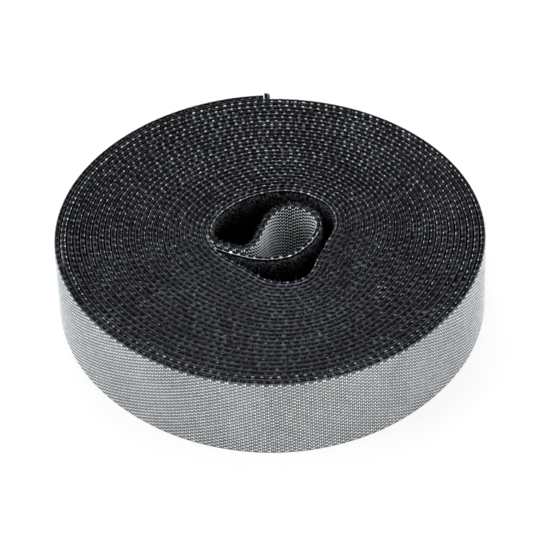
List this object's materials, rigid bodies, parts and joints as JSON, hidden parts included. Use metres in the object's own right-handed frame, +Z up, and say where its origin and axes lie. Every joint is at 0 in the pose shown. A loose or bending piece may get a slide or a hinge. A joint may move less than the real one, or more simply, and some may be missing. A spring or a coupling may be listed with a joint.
{
  "type": "hook and loop tape roll",
  "caption": "Coreless roll of back-to-back hook and loop tape lying flat, inner end folded into a teardrop in the eye, free end peeling off the outside.",
  "frame": {"origin": "centre of the roll on the surface that it lies on", "axes": "+Z up along the roll's axis and across the tape's width, +Y to the back, where the free end is"},
  "size_m": [0.0931, 0.0953, 0.02],
  "materials": {
    "hook_face": "woven hook fabric, light grey hooks on a darker ground",
    "loop_pile": "brushed loop pile, black and matt"
  },
  "bodies": {
    "roll": {"hook_tape_roll": "hook_face", "loop_tape_roll": "loop_pile"},
    "tail_1": {"hook_tape_tail_1": "hook_face", "loop_tape_tail_1": "loop_pile"},
    "tail_2": {"hook_tape_tail_2": "hook_face", "loop_tape_tail_2": "loop_pile"},
    "tail_3": {"hook_tape_tail_3": "hook_face", "loop_tape_tail_3": "loop_pile"},
    "tail_4": {"hook_tape_tail_4": "hook_face", "loop_tape_tail_4": "loop_pile"},
    "tail_5": {"hook_tape_tail_5": "hook_face", "loop_tape_tail_5": "loop_pile"},
    "tail_6": {"hook_tape_tail_6": "hook_face", "loop_tape_tail_6": "loop_pile"}
  },
  "joints": [
    {"name": "tail_peel", "type": "hinge", "parent": "roll", "child": "tail_1", "pos_m": [-0.04661, 0.00002, 0], "axis": [0, 0, 1], "range_deg": [0, 20]},
    {"name": "tail_flex_2", "type": "hinge", "parent": "tail_1", "child": "tail_2", "pos_m": [-0.04529, 0.01215, 0], "axis": [0, 0, 1], "range_deg": [0, 20]},
    {"name": "tail_flex_3", "type": "hinge", "parent": "tail_2", "child": "tail_3", "pos_m": [-0.04077, 0.02355, 0], "axis": [0, 0, 1], "range_deg": [0, 20]},
    {"name": "tail_flex_4", "type": "hinge", "parent": "tail_3", "child": "tail_4", "pos_m": [-0.03339, 0.0334, 0], "axis": [0, 0, 1], "range_deg": [0, 20]},
    {"name": "tail_flex_5", "type": "hinge", "parent": "tail_4", "child": "tail_5", "pos_m": [-0.02372, 0.04109, 0], "axis": [0, 0, 1], "range_deg": [0, 20]},
    {"name": "tail_flex_6", "type": "hinge", "parent": "tail_5", "child": "tail_6", "pos_m": [-0.01231, 0.04595, 0], "axis": [0, 0, 1], "range_deg": [0, 20]}
  ],
  "couplings": [
    {"joint": "tail_flex_2", "follows": "tail_peel", "ratio": 1},
    {"joint": "tail_flex_3", "follows": "tail_peel", "ratio": 1},
    {"joint": "tail_flex_4", "follows": "tail_peel", "ratio": 1},
    {"joint": "tail_flex_5", "follows": "tail_peel", "ratio": 1},
    {"joint": "tail_flex_6", "follows": "tail_peel", "ratio": 1}
  ]
}
